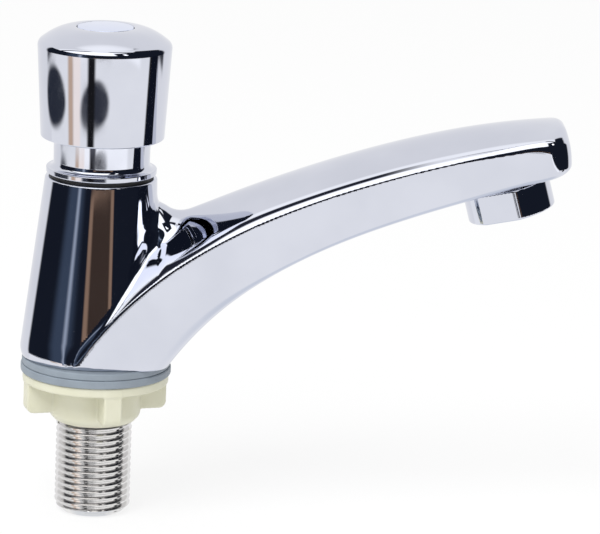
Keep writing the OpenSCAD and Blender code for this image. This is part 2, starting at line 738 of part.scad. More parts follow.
// Aerator shell: thread inside the spout, two wrench flats and a lip that holds the stack
flat_turn = -18;
module aerator_shell() {
    edge = 0.5;
    shell_r = aerator_d / 2;
    low = -aerator_show;
    top = socket_h - washer_h;
    color(chrome) at_outlet() intersection() {
        rotate_extrude() polygon([
            [lip_r, low], [shell_r - edge, low], [shell_r, low + edge], [shell_r, -outlet_gap - edge],
            [shell_r - edge, -outlet_gap], [aerator_thread_r, -outlet_gap], [aerator_thread_r, top],
            [aerator_bore_r, top], [aerator_bore_r, low + lip_h], [lip_r, low + lip_h]]);
        rotate(flat_turn) translate([-aerator_d, -aerator_flats / 2, low - over])
            cube([2 * aerator_d, aerator_flats, top - low + 2 * over]);
    }
}

module aerator_washer() {
    inset = 0.6;
    color(rubber_black) at_outlet()
        ring(aerator_thread_r - fit_gap, aerator_bore_r - inset, socket_h - washer_h, washer_h);
}

// Stack inside the shell, from the lip upwards
stack_r = aerator_bore_r - fit_gap;
plate_z = -aerator_show + lip_h;
insert_z = plate_z + plate_t;
filter_z = insert_z + insert_h;

// Plate of outlet holes that rests on the shell's lip
module outlet_plate() {
    margin = 1.6;
    color(white_plastic) at_outlet() difference() {
        translate([0, 0, plate_z]) cylinder(r = stack_r, h = plate_t);
        hole_rings(plate_hole_r, lip_r - margin, 3, plate_z - over, plate_t + 2 * over);
    }
}

// Flow former with a ring of slots that draw in air
module aerator_insert() {
    wall = 1.2;
    roof = 2;
    slot_count = 12;
    slot_r = 0.6;
    slot_at = stack_r - 2.6;
    color(white_plastic) at_outlet() difference() {
        translate([0, 0, insert_z]) cylinder(r = stack_r, h = insert_h);
        translate([0, 0, insert_z - over]) cylinder(r = stack_r - wall, h = insert_h - roof + over);
        for (k = [0 : slot_count - 1]) rotate(360 * k / slot_count) translate([slot_at, 0, insert_z])
            cylinder(r = slot_r, h = insert_h + over, $fn = 24);
    }
}

// Fine filter disc on top of the flow former
module aerator_filter() {
    hole_r = 0.45;
    margin = 1.4;
    color(steel) at_outlet() difference() {
        translate([0, 0, filter_z]) cylinder(r = stack_r, h = filter_t);
        hole_rings(hole_r, aerator_bore_r - margin, 4, filter_z - over, filter_t + 2 * over);
    }
}

tap_body();
threaded_tail();
tail_seal();
inlet_strainer();
base_gasket();
clamp_washer();
back_nut();
seat_gasket();
cartridge_housing();
housing_ring();
valve_seal();
valve_disc();
stem_nut();
spacer_sleeve();
piston();
cup_seal();
plunger_stem();
metering_pin();
bonnet();
bonnet_gasket();
stem_ring();
return_spring();
push_cap();
cap_screw();
index_disc();
aerator_shell();
aerator_washer();
aerator_filter();
aerator_insert();
outlet_plate();
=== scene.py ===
"""Push timed tap: smooth surfaces, finishes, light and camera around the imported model.

Shapes are worked out in millimetres, in the model's own frame, and become metres when a mesh is made.
The camera, the lamp and the radii of the stage are written in metres, and scales of noise in cells per metre.
"""

import json
import math

import bmesh
import bpy
import numpy as np
from mathutils import Matrix, Vector


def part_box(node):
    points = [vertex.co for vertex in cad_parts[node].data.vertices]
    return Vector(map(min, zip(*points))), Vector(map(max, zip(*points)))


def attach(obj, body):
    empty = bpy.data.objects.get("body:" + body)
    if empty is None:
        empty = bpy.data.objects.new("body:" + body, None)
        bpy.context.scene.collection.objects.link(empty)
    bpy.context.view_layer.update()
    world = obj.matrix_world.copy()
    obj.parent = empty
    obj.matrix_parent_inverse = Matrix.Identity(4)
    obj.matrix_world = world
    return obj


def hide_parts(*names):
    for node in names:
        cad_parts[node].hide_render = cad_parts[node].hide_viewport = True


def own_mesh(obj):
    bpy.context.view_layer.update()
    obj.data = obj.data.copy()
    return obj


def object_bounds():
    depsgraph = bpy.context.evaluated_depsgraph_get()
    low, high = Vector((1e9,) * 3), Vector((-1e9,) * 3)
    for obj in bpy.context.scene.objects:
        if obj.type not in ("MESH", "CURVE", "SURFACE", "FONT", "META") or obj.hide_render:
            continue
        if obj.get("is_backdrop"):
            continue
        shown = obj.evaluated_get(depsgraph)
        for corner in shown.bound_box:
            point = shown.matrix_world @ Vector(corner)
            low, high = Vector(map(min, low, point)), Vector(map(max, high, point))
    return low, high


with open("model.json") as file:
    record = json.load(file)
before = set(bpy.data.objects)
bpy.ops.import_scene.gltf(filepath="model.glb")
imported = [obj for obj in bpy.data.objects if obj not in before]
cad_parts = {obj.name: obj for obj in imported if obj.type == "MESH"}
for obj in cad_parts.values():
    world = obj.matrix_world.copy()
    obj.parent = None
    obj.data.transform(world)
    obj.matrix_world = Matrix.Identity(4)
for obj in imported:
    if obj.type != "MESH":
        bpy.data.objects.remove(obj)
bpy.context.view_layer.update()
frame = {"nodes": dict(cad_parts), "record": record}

MM = 0.001


def box_mm(node):
    """Lowest and highest corner of a CAD node, in millimetres."""
    low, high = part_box(node)
    return np.array(low) / MM, np.array(high) / MM


# Levels and radii taken from the frame
base_z = box_mm("base_gasket")[1][2]
rim_z = box_mm("bonnet_gasket")[0][2]
tip_x = box_mm("tap_body")[1][0]
thread_r = box_mm("threaded_tail")[1][0]
tail_low, tail_top = box_mm("threaded_tail")[0][2], box_mm("threaded_tail")[1][2]

# Column: an oval base that draws in to a round rim
rim_r, rim_edge_r = 15.4, 0.5
base_back, base_front, base_side = 21.4, 20.8, 17.2
cone_front = 16.6

# Foot of the column: it flares behind, and its round grows from the front to the sides and the rear
foot_out, foot_h = 1.4, 7.0
foot_r, foot_side_r, foot_rear_r = 0.4, 2.4, 6.3
side_sunk, rear_sunk = 0.9, 2.9
flare_x, flare_l = -3.0, 6.0
foot_side_x, foot_side_l = 4.0, 8.0
foot_rear_x, foot_rear_l = -4.0, 14.0

# Spout: its ends, the droop and bulge of its tip, and the fillets at its root
neck_x, neck_z, neck_r = 16.0, 41.5, 9.5
root_side = 18.3
tip_z, tip_depth, tip_side, tip_r = 72.2, 12.2, 15.0, 8.5
droop_l, droop_r = 2.4, 4.5
bulge_r, bulge_drop = 28.0, 11.5
root_r, low_root_r, root_edge_r = 1.4, 0.6, 0.4
neck_fade_z, neck_fade_h = 32.0, 10.0
crease_blend = 3.0

# Guide curves of the spout: places of their ends, and handles as steps in x and z from these
crown_handles = (6.5, 0.3), (-45.5, 0.8)
crease_x, crease_rise, crease_drop = -6.0, 1.0, 2.2
crease_handles = (22.0, 35.0), (-71.5, -14.2)
under_inset, under_rise = 1.0, 0.3
under_handles = (22.0, 31.5), (-59.0, -17.3)
under_x = base_front - under_inset

# Sides of the spout: draft in degrees, and the bevel along the crease
draft_root, draft_tip, draft_end = 2.0, 12.0, 1.0
draft_fade_x, draft_fade_l = 114.0, 12.0
crease_lift, crease_under, crease_tilt = 0.7, 1.0, math.radians(36)
bevel_r, bevel_tip_r = 0.3, 1.8
bevel_fade_x, bevel_fade_l = 92.0, 28.0
least_share = 0.01

# Top of the spout: a roof-like shelf beside the column, and an even crown further out
roof_bend, crown_gain = 0.2, 15.0
roof_l, roof_fade_l = 2.0, 32.0
shelf_slope, shelf_gain, shelf_out_gain, shelf_soft = 0.75, 0.010, 0.06, 2.0
least_rise = 0.3
edge_r, edge_tip_r = 1.2, 1.6
edge_fade_x, edge_fade_l = 96.0, 20.0

# Underside of the spout
under_r, under_root_r = 1.8, 6.0
under_fade_x, under_fade_l = 16.0, 40.0

# Bores of the casting, and how far they run past its faces
ledge_top, socket_top = 19.0, 16.0
chamber_r, passage_r, socket_r, waterway_r = 12.0, 8.6, 10.628, 4.5
waterway_in, waterway_z, waterway_drop = 4.0, 28.9, 0.8
bore_over, passage_over, outlet_over = 9.0, 1.0, 20.0
fit_gap = 0.15

# Outlet
spout_reach, outlet_tilt = 111.0, math.radians(15.5)
outlet_gap, washer_h = 0.4, 1.5
aerator_r, aerator_flats, aerator_show = 12.1, 22.0, 8.8
aerator_thread_r, aerator_thread_h = 10.9, 6.8
socket_h = aerator_thread_h + outlet_gap + washer_h

# Small edge radii
fine_r, small_r, soft_r = 0.1, 0.2, 0.3

# Cells of the meshed fields, and the room round the solids in which they are meshed
casting_step, nut_step, shell_step = 0.55, 0.4, 0.33
margin = 0.9


def guide_curve(start, end, handles, count=1600):
    """Height and slope, as functions of x, of a Bezier curve between two ends with a handle at each."""
    start, end = np.array(start, float), np.array(end, float)
    near, far = start + handles[0], end + handles[1]
    t = np.linspace(0, 1, count)[:, None]
    curve = (1 - t) ** 3 * start + 3 * t * (1 - t) ** 2 * near + 3 * t**2 * (1 - t) * far + t**3 * end
    slope = np.gradient(curve[:, 1], curve[:, 0])
    return (lambda x: np.interp(x, curve[:, 0], curve[:, 1])), (lambda x: np.interp(x, curve[:, 0], slope))


crown, crown_slope = guide_curve((neck_x, neck_z), (tip_x, tip_z), crown_handles)
crease_curve, crease_slope = guide_curve(
    (crease_x, base_z + crease_rise), (tip_x, tip_z - crease_drop), crease_handles)
under_curve, under_slope = guide_curve(
    (under_x, base_z + under_rise), (tip_x, tip_z - tip_depth), under_handles)


def mix(a, b, t):
    """Value at a share t of the way from a to b."""
    return a + (b - a) * t


def smooth(t):
    """Share from 0 to 1, eased at both ends."""
    t = np.clip(t, 0, 1)
    return t * t * (3 - 2 * t)


def round_and(a, b, r):
    """Intersection of two fields, with the edge rounded to radius r."""
    u, v = np.maximum(a + r, 0), np.maximum(b + r, 0)
    return np.minimum(np.maximum(a, b), -r) + np.sqrt(u * u + v * v)


def round_or(a, b, r):
    """Union of two fields, with the corner filled to radius r."""
    u, v = np.maximum(r - a, 0), np.maximum(r - b, 0)
    return np.maximum(np.minimum(a, b), r) - np.sqrt(u * u + v * v)


def soft_min(a, b, r):
    """Lesser of two values, rounded where they are within r of each other."""
    near = np.maximum(r - np.abs(a - b), 0)
    return np.minimum(a, b) - near * near / (4 * r)


def column_field(x, y, z, least=1e-3):
    """Cone on an oval base, longer behind and flared at the foot, that draws in to the round rim."""
    share = np.clip((z - base_z) / (rim_z - base_z), 0, 1)
    reach = mix(np.where(x < 0, base_back, cone_front), rim_r, share)
    flare = foot_out * smooth((base_z + foot_h - z) / foot_h) * smooth((flare_x - x) / flare_l)
    size = np.hypot(x / reach, y / (mix(base_side, rim_r, share) + flare))
    radius = np.hypot(x, y)
    lean = math.cos(math.atan((base_side - rim_r) / (rim_z - base_z)))
    return radius * (1 - 1 / np.maximum(size, least)) * lean


def crease_at(x):
    """Height of the crease, which stays below the crown."""
    return np.minimum(crease_curve(x), crown(np.maximum(x, neck_x)) - crease_under)


def wall_field(x, y, z):
    """Half width of the spout, its drafted sides, and the same with the bevel along the crease."""
    along = np.clip(x / tip_x, 0, 1)
    side = mix(root_side, tip_side, along)
    side = np.where(x < 0, root_side * np.sqrt(np.maximum(1 - (x / base_back) ** 2, least_share)), side)
    draft = mix(draft_root, draft_tip, along)
    draft = np.tan(np.radians(mix(draft, draft_end, smooth((x - draft_fade_x) / draft_fade_l))))
    beside = (np.abs(y) - side + (crease_at(x) - z) * draft) / np.sqrt(1 + draft**2)
    bevel = beside * math.cos(crease_tilt) + (z - crease_at(x)) * math.sin(crease_tilt)
    edge = mix(bevel_r, bevel_tip_r, smooth((x - bevel_fade_x) / bevel_fade_l))
    return side, beside, round_and(beside, bevel, edge)


def spout_field(x, y, z):
    """Crowned top, a bevelled crease, drafted sides and a tip that is rounded in plan and bulges."""
    side, _, bevelled = wall_field(x, y, z)
    droop = np.maximum(x - tip_x + droop_l, 0)
    top = crown(np.maximum(x, neck_x)) - droop**2 / (2 * droop_r)
    low = np.minimum(crease_at(x) + crease_lift, top - least_rise)
    # The bend across the top is tight beside the column and wide further out
    out = x - neck_x
    bend = roof_bend * crown_gain ** smooth((out - roof_l) / roof_fade_l)
    full = np.sqrt(1 + bend**2) - bend
    steep = shelf_slope + shelf_gain * np.abs(out) + shelf_out_gain * np.maximum(out, 0)
    rise = soft_min(top - low, steep * side * full * np.sqrt(1 + bend**2), shelf_soft)
    across = np.abs(y) / side
    share = (np.sqrt(across**2 + bend**2) - bend) / full
    fall = rise * across / np.sqrt(across**2 + bend**2) / full / side
    top_run = np.where(x > neck_x, crown_slope(x), 0) - droop / droop_r
    run = mix(top_run, crease_slope(x), np.minimum(share, 1))
    over = (z - low - rise * (1 - share)) / np.sqrt(1 + fall**2 + run**2)
    end = x - tip_x + (z - tip_z + bulge_drop) ** 2 / (2 * bulge_r)
    under = under_curve(np.maximum(x, under_x)) + under_slope(under_x) * np.minimum(x - under_x, 0)
    beneath = (under - z) / np.sqrt(1 + under_slope(x) ** 2)
    field = round_and(bevelled, end, tip_r)
    field = round_and(field, over, mix(edge_r, edge_tip_r, smooth((x - edge_fade_x) / edge_fade_l)))
    field = round_and(field, beneath, mix(under_root_r, under_r, smooth((x - under_fade_x) / under_fade_l)))
    return np.maximum(field, crease_x - x)


def tube_field(x, y, z, start, end, r):
    """Solid round bar from start to end."""
    start, end = np.array(start, float), np.array(end, float)
    axis = (end - start) / np.linalg.norm(end - start)
    p = [x - start[0], y - start[1], z - start[2]]
    t = p[0] * axis[0] + p[1] * axis[1] + p[2] * axis[2]
    off = np.sqrt(sum((c - t * a) ** 2 for c, a in zip(p, axis)))
    return np.maximum(off - r, np.maximum(-t, t - np.linalg.norm(end - start)))


outlet = np.array([spout_reach, 0, float(under_curve(spout_reach))])
outlet_x = np.array([math.cos(outlet_tilt), 0, math.sin(outlet_tilt)])
outlet_z = np.array([-math.sin(outlet_tilt), 0, math.cos(outlet_tilt)])
socket_end = outlet + socket_h * outlet_z


def casting_shell(x, y, z):
    """Outside of the casting, before it is bored."""
    column = round_and(column_field(x, y, z), z - rim_z, rim_edge_r)
    above = smooth((z - crease_at(x) + crease_blend) / (2 * crease_blend))
    fillet = mix(root_r, neck_r, smooth((z - neck_fade_z) / neck_fade_h))
    body = round_or(column, spout_field(x, y, z), mix(low_root_r, fillet, above))
    body = round_and(body, np.minimum(column, wall_field(x, y, z)[1]), root_edge_r)
    # Behind the spout the foot is rounded in, and its round is cut off by the gasket's face
    behind = smooth((foot_side_x - x) / foot_side_l)
    rear = smooth((foot_rear_x - x) / foot_rear_l)
    sunk = behind * mix(side_sunk, rear_sunk, rear)
    foot = round_and(body, base_z - sunk - z, mix(foot_r, mix(foot_side_r, foot_rear_r, rear), behind))
    return np.maximum(foot, base_z - z)


def casting_field(x, y, z):
    """The casting with its chamber, waterway and sockets."""
    body = casting_shell(x, y, z)
    for start, end, r in (
            ((0, 0, ledge_top), (0, 0, rim_z + bore_over), chamber_r),
            ((0, 0, socket_top - passage_over), (0, 0, ledge_top + passage_over), passage_r),
            ((0, 0, base_z - bore_over), (0, 0, socket_top), socket_r),
            ((chamber_r - waterway_in, 0, waterway_z), socket_end - [0, 0, waterway_drop], waterway_r),
            (outlet - outlet_over * outlet_z, socket_end, aerator_thread_r + fit_gap)):
        body = np.maximum(body, -tube_field(x, y, z, start, end, r))
    return body


def slope_of(field, points, reach=0.02):
    """Gradient of a field at some points, by central differences."""
    out = np.empty_like(points)
    for axis in range(3):
        step = np.zeros(3)
        step[axis] = reach
        out[:, axis] = (field(*(points + step).T) - field(*(points - step).T)) / (2 * reach)
    return out


def settle(field, points, limit, rounds=3, least=0.1):
    """Move points onto the zero surface of a field."""
    for _ in range(rounds):
        slope = slope_of(field, points)
        move = field(*points.T) / np.maximum((slope * slope).sum(1), least)
        points = points - np.clip(move, -limit, limit)[:, None] * slope
    return points


def skin(field, low, high, step, even=4):
    """Quads on the zero surface of a field: points, faces and the field's own normals."""
    low, high = np.array(low, float), np.array(high, float)
    axes = [np.arange(a, b + step, step) for a, b in zip(low, high)]
    values = field(*np.meshgrid(*axes, indexing="ij"))
    inside = values < 0
    shape = np.array(values.shape) - 1
    corners = np.array([(i, j, k) for i in (0, 1) for j in (0, 1) for k in (0, 1)])
    filled = sum(inside[i:i + shape[0], j:j + shape[1], k:k + shape[2]].astype(np.int8)
                 for i, j, k in corners)
    cells = np.argwhere((filled > 0) & (filled < len(corners)))
    number = np.full(shape, -1)
    number[tuple(cells.T)] = np.arange(len(cells))
    # A point in each cell that the surface cuts, at the mean of the cuts
    total, hits = np.zeros((len(cells), 3)), np.zeros(len(cells))
    for a in corners:
        for axis in np.flatnonzero(a == 0):
            b = a.copy()
            b[axis] = 1
            here, there = values[tuple((cells + a).T)], values[tuple((cells + b).T)]
            cut = (here < 0) != (there < 0)
            share = here[cut] / (here[cut] - there[cut])
            total[cut] += a + share[:, None] * (b - a)
            hits[cut] += 1
    points = low + step * (cells + total / hits[:, None])
    # A quad round each grid edge that the surface cuts
    faces = []
    for axis in range(3):
        u, v = np.eye(3, dtype=int)[(axis + 1) % 3], np.eye(3, dtype=int)[(axis + 2) % 3]
        near = np.take(inside, np.arange(shape[axis]), axis)
        far = np.take(inside, np.arange(1, shape[axis] + 1), axis)
        edge = np.argwhere(near != far)
        open_cell = np.ones(len(edge), bool)
        for side in ((axis + 1) % 3, (axis + 2) % 3):
            open_cell &= (edge[:, side] > 0) & (edge[:, side] < shape[side])
        edge = edge[open_cell]
        quad = np.stack([number[tuple((edge - s).T)] for s in (0 * u, u, u + v, v)], 1)
        flipped = ~near[tuple(edge.T)]
        quad[flipped] = quad[flipped][:, ::-1]
        faces.append(quad)
    faces = np.concatenate(faces)
    # The points are evened out among their neighbours and kept on the surface
    links = np.concatenate([faces[:, [i, (i + 1) % 4]] for i in range(4)])
    links = np.unique(np.sort(links, axis=1), axis=0)
    count = np.bincount(links.ravel(), minlength=len(points))[:, None]
    points = settle(field, points, step / 2)
    for _ in range(even):
        mean = np.stack([np.bincount(links[:, 0], points[links[:, 1], a], len(points))
                         + np.bincount(links[:, 1], points[links[:, 0], a], len(points))
                         for a in range(3)], 1)
        points = settle(field, mix(points, mean / count, 0.5), step / 2, rounds=2)
    normals = slope_of(field, points)
    return points, faces, normals / np.linalg.norm(normals, axis=1)[:, None]


def rounded(outline, arc_step=15, straight=0.01, most_share=0.48):
    """Closed outline of (r, z, corner radius), anticlockwise: points with outward normals."""
    points = []
    flat = np.array([p[:2] for p in outline], float)
    for i, corner in enumerate(outline):
        before, here, after = flat[i - 1], flat[i], flat[(i + 1) % len(flat)]
        into, out = here - before, after - here
        length_in, length_out = np.linalg.norm(into), np.linalg.norm(out)
        into, out = into / length_in, out / length_out
        turn = math.atan2(into[0] * out[1] - into[1] * out[0], into @ out)
        if corner[2] == 0 or abs(turn) < straight:
            along = (into + out) / np.linalg.norm(into + out)
            points.append((*here, along[1], -along[0]))
            continue
        r = min(corner[2], most_share * min(length_in, length_out) / math.tan(abs(turn) / 2))
        side = math.copysign(1, turn)
        centre = here - into * r * math.tan(abs(turn) / 2) + side * r * np.array([-into[1], into[0]])
        steps = max(3, math.ceil(math.degrees(abs(turn)) / arc_step))
        for k in range(steps + 1):
            a = turn * k / steps
            along = np.array([into[0] * math.cos(a) - into[1] * math.sin(a),
                              into[0] * math.sin(a) + into[1] * math.cos(a)])
            normal = np.array([along[1], -along[0]])
            points.append((*(centre + side * r * normal), *normal))
    return points


def turned(outline, count=144, on_axis=1e-6):
    """Solid of revolution about Z from a closed outline: points, faces and normals."""
    profile = rounded(outline)
    points, normals, rings = [], [], []
    angle = np.linspace(0, 2 * math.pi, count, endpoint=False)
    for r, z, nr, nz in profile:
        if r < on_axis:
            rings.append([len(points)] * count)
            points.append((0, 0, z))
            normals.append((0, 0, math.copysign(1, nz)))
            continue
        rings.append(list(range(len(points), len(points) + count)))
        points.extend(zip(r * np.cos(angle), r * np.sin(angle), [z] * count))
        normals.extend(zip(nr * np.cos(angle), nr * np.sin(angle), [nz] * count))
    faces = []
    for i, ring in enumerate(rings):
        after = rings[(i + 1) % len(rings)]
        if ring[0] == ring[-1] and after[0] == after[-1]:
            continue
        for k in range(count):
            face = [ring[k], ring[(k + 1) % count], after[(k + 1) % count], after[k]]
            faces.append(list(dict.fromkeys(face)))
    return np.array(points), faces, np.array(normals)


def piece(name, shape, body, slot, *nodes):
    """Make a smooth mesh from points, faces and normals, and let it stand for its CAD nodes."""
    points, faces, normals = shape
    mesh = bpy.data.meshes.new(name)
    mesh.from_pydata((np.asarray(points) * MM).tolist(), [], [list(map(int, f)) for f in faces])
    mesh.update()
    mesh.shade_smooth()
    if normals is not None:
        mesh.normals_split_custom_set_from_vertices(np.asarray(normals).tolist())
    obj = bpy.data.objects.new(name, mesh)
    bpy.context.scene.collection.objects.link(obj)
    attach(obj, body)
    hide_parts(*nodes)
    obj.data.materials.append(finishes[slot])
    return obj


def shader(name, color, metallic=0.0):
    """New material: its principled shader, node tree and a texture position."""
    mat = bpy.data.materials.new(name)
    mat.use_nodes = True
    tree = mat.node_tree
    bsdf = tree.nodes["Principled BSDF"]
    bsdf.inputs["Base Color"].default_value = (*color, 1)
    bsdf.inputs["Metallic"].default_value = metallic
    place = tree.nodes.new("ShaderNodeTexCoord").outputs["Object"]
    return mat, tree, bsdf, place


def noise(tree, place, scale, detail=3.0, stretch=None):
    """Noise value from 0 to 1, at a scale in cells per metre."""
    if stretch:
        mapping = tree.nodes.new("ShaderNodeMapping")
        mapping.inputs["Scale"].default_value = stretch
        tree.links.new(place, mapping.inputs["Vector"])
        place = mapping.outputs["Vector"]
    node = tree.nodes.new("ShaderNodeTexNoise")
    node.inputs["Scale"].default_value = scale
    node.inputs["Detail"].default_value = detail
    tree.links.new(place, node.inputs["Vector"])
    return node.outputs["Fac"]


def ranged(tree, value, low, high, start=0.3, end=0.7):
    """Value mapped smoothly from start..end to low..high."""
    node = tree.nodes.new("ShaderNodeMapRange")
    node.interpolation_type = "SMOOTHSTEP"
    for socket, number in (("From Min", start), ("From Max", end), ("To Min", low), ("To Max", high)):
        node.inputs[socket].default_value = number
    tree.links.new(value, node.inputs["Value"])
    return node.outputs["Result"]


def blended(tree, factor, first, second):
    """Colour between two colours, by a factor."""
    node = tree.nodes.new("ShaderNodeMix")
    node.data_type = "RGBA"
    for socket, color in ((node.inputs[6], first), (node.inputs[7], second)):
        if isinstance(color, tuple):
            socket.default_value = (*color, 1)
        else:
            tree.links.new(color, socket)
    tree.links.new(factor, node.inputs[0])
    return node.outputs[2]


def bumped(tree, bsdf, height, depth, strength):
    """Surface relief of a depth in metres."""
    node = tree.nodes.new("ShaderNodeBump")
    node.inputs["Strength"].default_value = strength
    node.inputs["Distance"].default_value = depth
    tree.links.new(height, node.inputs["Height"])
    tree.links.new(node.outputs["Normal"], bsdf.inputs["Normal"])


def plated(name, bright, dull, rough):
    """Polished plating: faint tone drift, and a haze that varies over the surface."""
    mat, tree, bsdf, place = shader(name, bright, metallic=1.0)
    drift = ranged(tree, noise(tree, place, scale=55.0), 0, 1)
    tree.links.new(blended(tree, drift, bright, dull), bsdf.inputs["Base Color"])
    haze = noise(tree, place, scale=160.0, detail=5.0)
    tree.links.new(ranged(tree, haze, rough * 0.6, rough * 1.6), bsdf.inputs["Roughness"])
    bumped(tree, bsdf, noise(tree, place, scale=90.0, detail=1.0), depth=0.00004, strength=0.12)
    return mat


def machined(name, bright, dull, rough, streak=(0.15, 0.15, 1.0)):
    """Turned metal: fine streaks round the axis and a broken sheen."""
    mat, tree, bsdf, place = shader(name, bright, metallic=1.0)
    lines = noise(tree, place, scale=900.0, detail=4.0, stretch=streak)
    tree.links.new(blended(tree, ranged(tree, lines, 0, 1), bright, dull), bsdf.inputs["Base Color"])
    sheen = noise(tree, place, scale=260.0, detail=4.0)
    tree.links.new(ranged(tree, sheen, rough * 0.9, rough * 1.1), bsdf.inputs["Roughness"])
    bumped(tree, bsdf, lines, depth=0.00002, strength=0.08)
    return mat


def moulded(name, color, shade, rough, grain):
    """Moulded plastic or rubber: slight mottling, fine grain and uneven gloss."""
    mat, tree, bsdf, place = shader(name, color)
    mottle = ranged(tree, noise(tree, place, scale=140.0, detail=4.0), 0, 1)
    tree.links.new(blended(tree, mottle, color, shade), bsdf.inputs["Base Color"])
    gloss = noise(tree, place, scale=420.0)
    tree.links.new(ranged(tree, gloss, rough * 0.85, rough * 1.15), bsdf.inputs["Roughness"])
    bumped(tree, bsdf, noise(tree, place, scale=grain), depth=0.00005, strength=0.3)
    return mat


rubber_grain, plastic_grain = 1500.0, 900.0
finishes = {
    "chrome": plated("chrome", (0.70, 0.72, 0.80), (0.66, 0.68, 0.76), rough=0.03),
    "index_face": plated("index_face", (0.77, 0.82, 0.99), (0.74, 0.79, 0.97), rough=0.06),
    "steel": machined("steel", (0.80, 0.79, 0.78), (0.765, 0.755, 0.75), rough=0.13),
    "brass": machined("brass", (0.66, 0.47, 0.17), (0.58, 0.40, 0.13), rough=0.26),
    "grey_rubber": moulded("grey_rubber", (0.270, 0.315, 0.365), (0.24, 0.28, 0.325), 0.5, rubber_grain),
    "black_rubber": moulded("black_rubber", (0.012, 0.012, 0.014), (0.02, 0.02, 0.022), 0.5, rubber_grain),
    "ivory_plastic": moulded("ivory_plastic", (0.70, 0.69, 0.55), (0.67, 0.66, 0.51), 0.42, plastic_grain),
    "white_plastic": moulded("white_plastic", (0.78, 0.79, 0.80), (0.74, 0.75, 0.77), 0.4, plastic_grain),
}

for entry in frame["record"]["subparts"]:
    for held in frame["nodes"][entry["node"]].material_slots:
        held.material = finishes[entry["material_slot"]]

# Casting of column and spout
casting_low, casting_high = box_mm("tap_body")
piece("casting", skin(casting_field, casting_low - margin, casting_high + margin, casting_step),
      "tap", "chrome", "tap_body")

# Push cap and its disc
cap_low, cap_high = box_mm("push_cap")
cap_z, cap_top, cap_high_r = cap_low[2], cap_high[2], cap_high[0]
cap_low_r, cap_wall, cap_edge_r = 16.95, 2.0, 0.5
roof_t, roof_root_r = 5.0, 1.2
boss_r, boss_h, boss_root_r = 6.5, 6.0, 0.8
side_h, shoulder_r, shoulder_drop, shoulder_turn, dome_power = 26.2, 2.2, 1.0, 60, 2.1
recess_r, recess_edge = 7.85, 0.35
head_r, head_h, hole_r = 3.75, 2.0, 2.15
disc_r, disc_t, disc_edge_r, disc_crown, crown_share = 7.7, 1.6, 0.3, 0.25, 0.92
side_z, roof_z, recess_z = cap_z + side_h, cap_top - roof_t, cap_top - disc_t
stem_top, head_z = roof_z - boss_h, recess_z - head_h


def dome_outline(arc_points=14, dome_points=24):
    """Shoulder arc and flat dome of the cap, from the side's top to the disc's recess."""
    lean = math.atan((cap_high_r - cap_low_r) / side_h)
    arc = [(cap_high_r + shoulder_r * (math.cos(a) - 1), side_z - shoulder_drop + shoulder_r * math.sin(a), 0)
           for a in np.linspace(-lean, math.radians(shoulder_turn), arc_points)]
    start, end_r = arc[-1], recess_r + recess_edge
    dome = [(mix(start[0], end_r, u), mix(start[1], cap_top, 1 - (1 - u) ** dome_power), 0)
            for u in np.linspace(0, 1, dome_points)[1:-1]]
    return arc + dome + [(end_r - recess_edge, cap_top, recess_edge)]


inner_low = cap_low_r - cap_wall
inner_high = inner_low + (cap_high_r - cap_low_r) * (roof_z - cap_z) / side_h
cap_foot = [(inner_low, cap_z, soft_r), (cap_low_r, cap_z, cap_edge_r)]
cap_inside = [
    (recess_r, recess_z, fine_r), (head_r, recess_z, fine_r), (head_r, head_z, fine_r),
    (hole_r, head_z, fine_r), (hole_r, stem_top, fine_r), (boss_r, stem_top, soft_r),
    (boss_r, roof_z, boss_root_r), (inner_high, roof_z, roof_root_r)]
piece("push_cap_shell", turned(cap_foot + dome_outline() + cap_inside, count=192),
      "plunger", "chrome", "push_cap")
disc_low, disc_high = box_mm("index_disc")
disc_side = disc_high[2] - disc_crown
disc_top = [((disc_r - disc_edge_r) * u, disc_side + disc_crown * (1 - u * u), 0)
            for u in np.linspace(crown_share, 0, 9)]
disc_foot = [(0, disc_low[2], 0), (disc_r, disc_low[2], small_r), (disc_r, disc_side, disc_edge_r)]
piece("cap_disc", turned(disc_foot + disc_top, count=120), "plunger", "index_face", "index_disc")

# Bonnet: skirt in the casting, flange, flare and sleeve
seal_low, seal_high = box_mm("bonnet_gasket")
bonnet_low, bonnet_high = box_mm("bonnet")
flange_r, flange_z, shoulder_z, sleeve_top = bonnet_high[0], seal_high[2], bonnet_low[2], bonnet_high[2]
flange_t, flange_edge, flange_taper = 1.6, 0.4, 0.06
flare_h, flare_from, flare_to = 1.4, 8, 90
sleeve_r, sleeve_bore_r, sleeve_bore_edge, sleeve_taper = 13.5, 11.5, 0.5, 0.3
sleeve_foot_h, sleeve_foot_share = 0.6, 0.95
gland_r, gland_rise, groove_r, groove_half = 4.06, 1.8, 5.86, 1.1
skirt_r, housing_r, housing_top = 10.35, 11.85, 49.5
flange_top = flange_z + flange_t
flare_top, gland_top = flange_top + flare_h, flange_top + gland_rise
groove_low, groove_top = rim_z - groove_half, rim_z + groove_half
flare_start = flange_r - flange_edge
flare_in = flare_start - sleeve_r + sleeve_taper
skirt = [
    (gland_r, housing_top, small_r), (skirt_r, housing_top, small_r), (skirt_r, shoulder_z, small_r),
    (housing_r, shoulder_z, soft_r), (housing_r, flange_z, fine_r)]
flange = [(flange_r - flange_taper, flange_z, flange_edge), (flange_r, flange_top, flange_edge)]
flare = [(flare_start - flare_in * math.sin(a), flange_top + flare_h * (1 - math.cos(a)), 0)
         for a in np.radians(np.linspace(flare_from, flare_to, 12))]
sleeve = [
    (sleeve_r - sleeve_foot_share * sleeve_taper, flare_top + sleeve_foot_h, 0),
    (sleeve_r, sleeve_top, flange_edge), (sleeve_bore_r, sleeve_top, soft_r)]
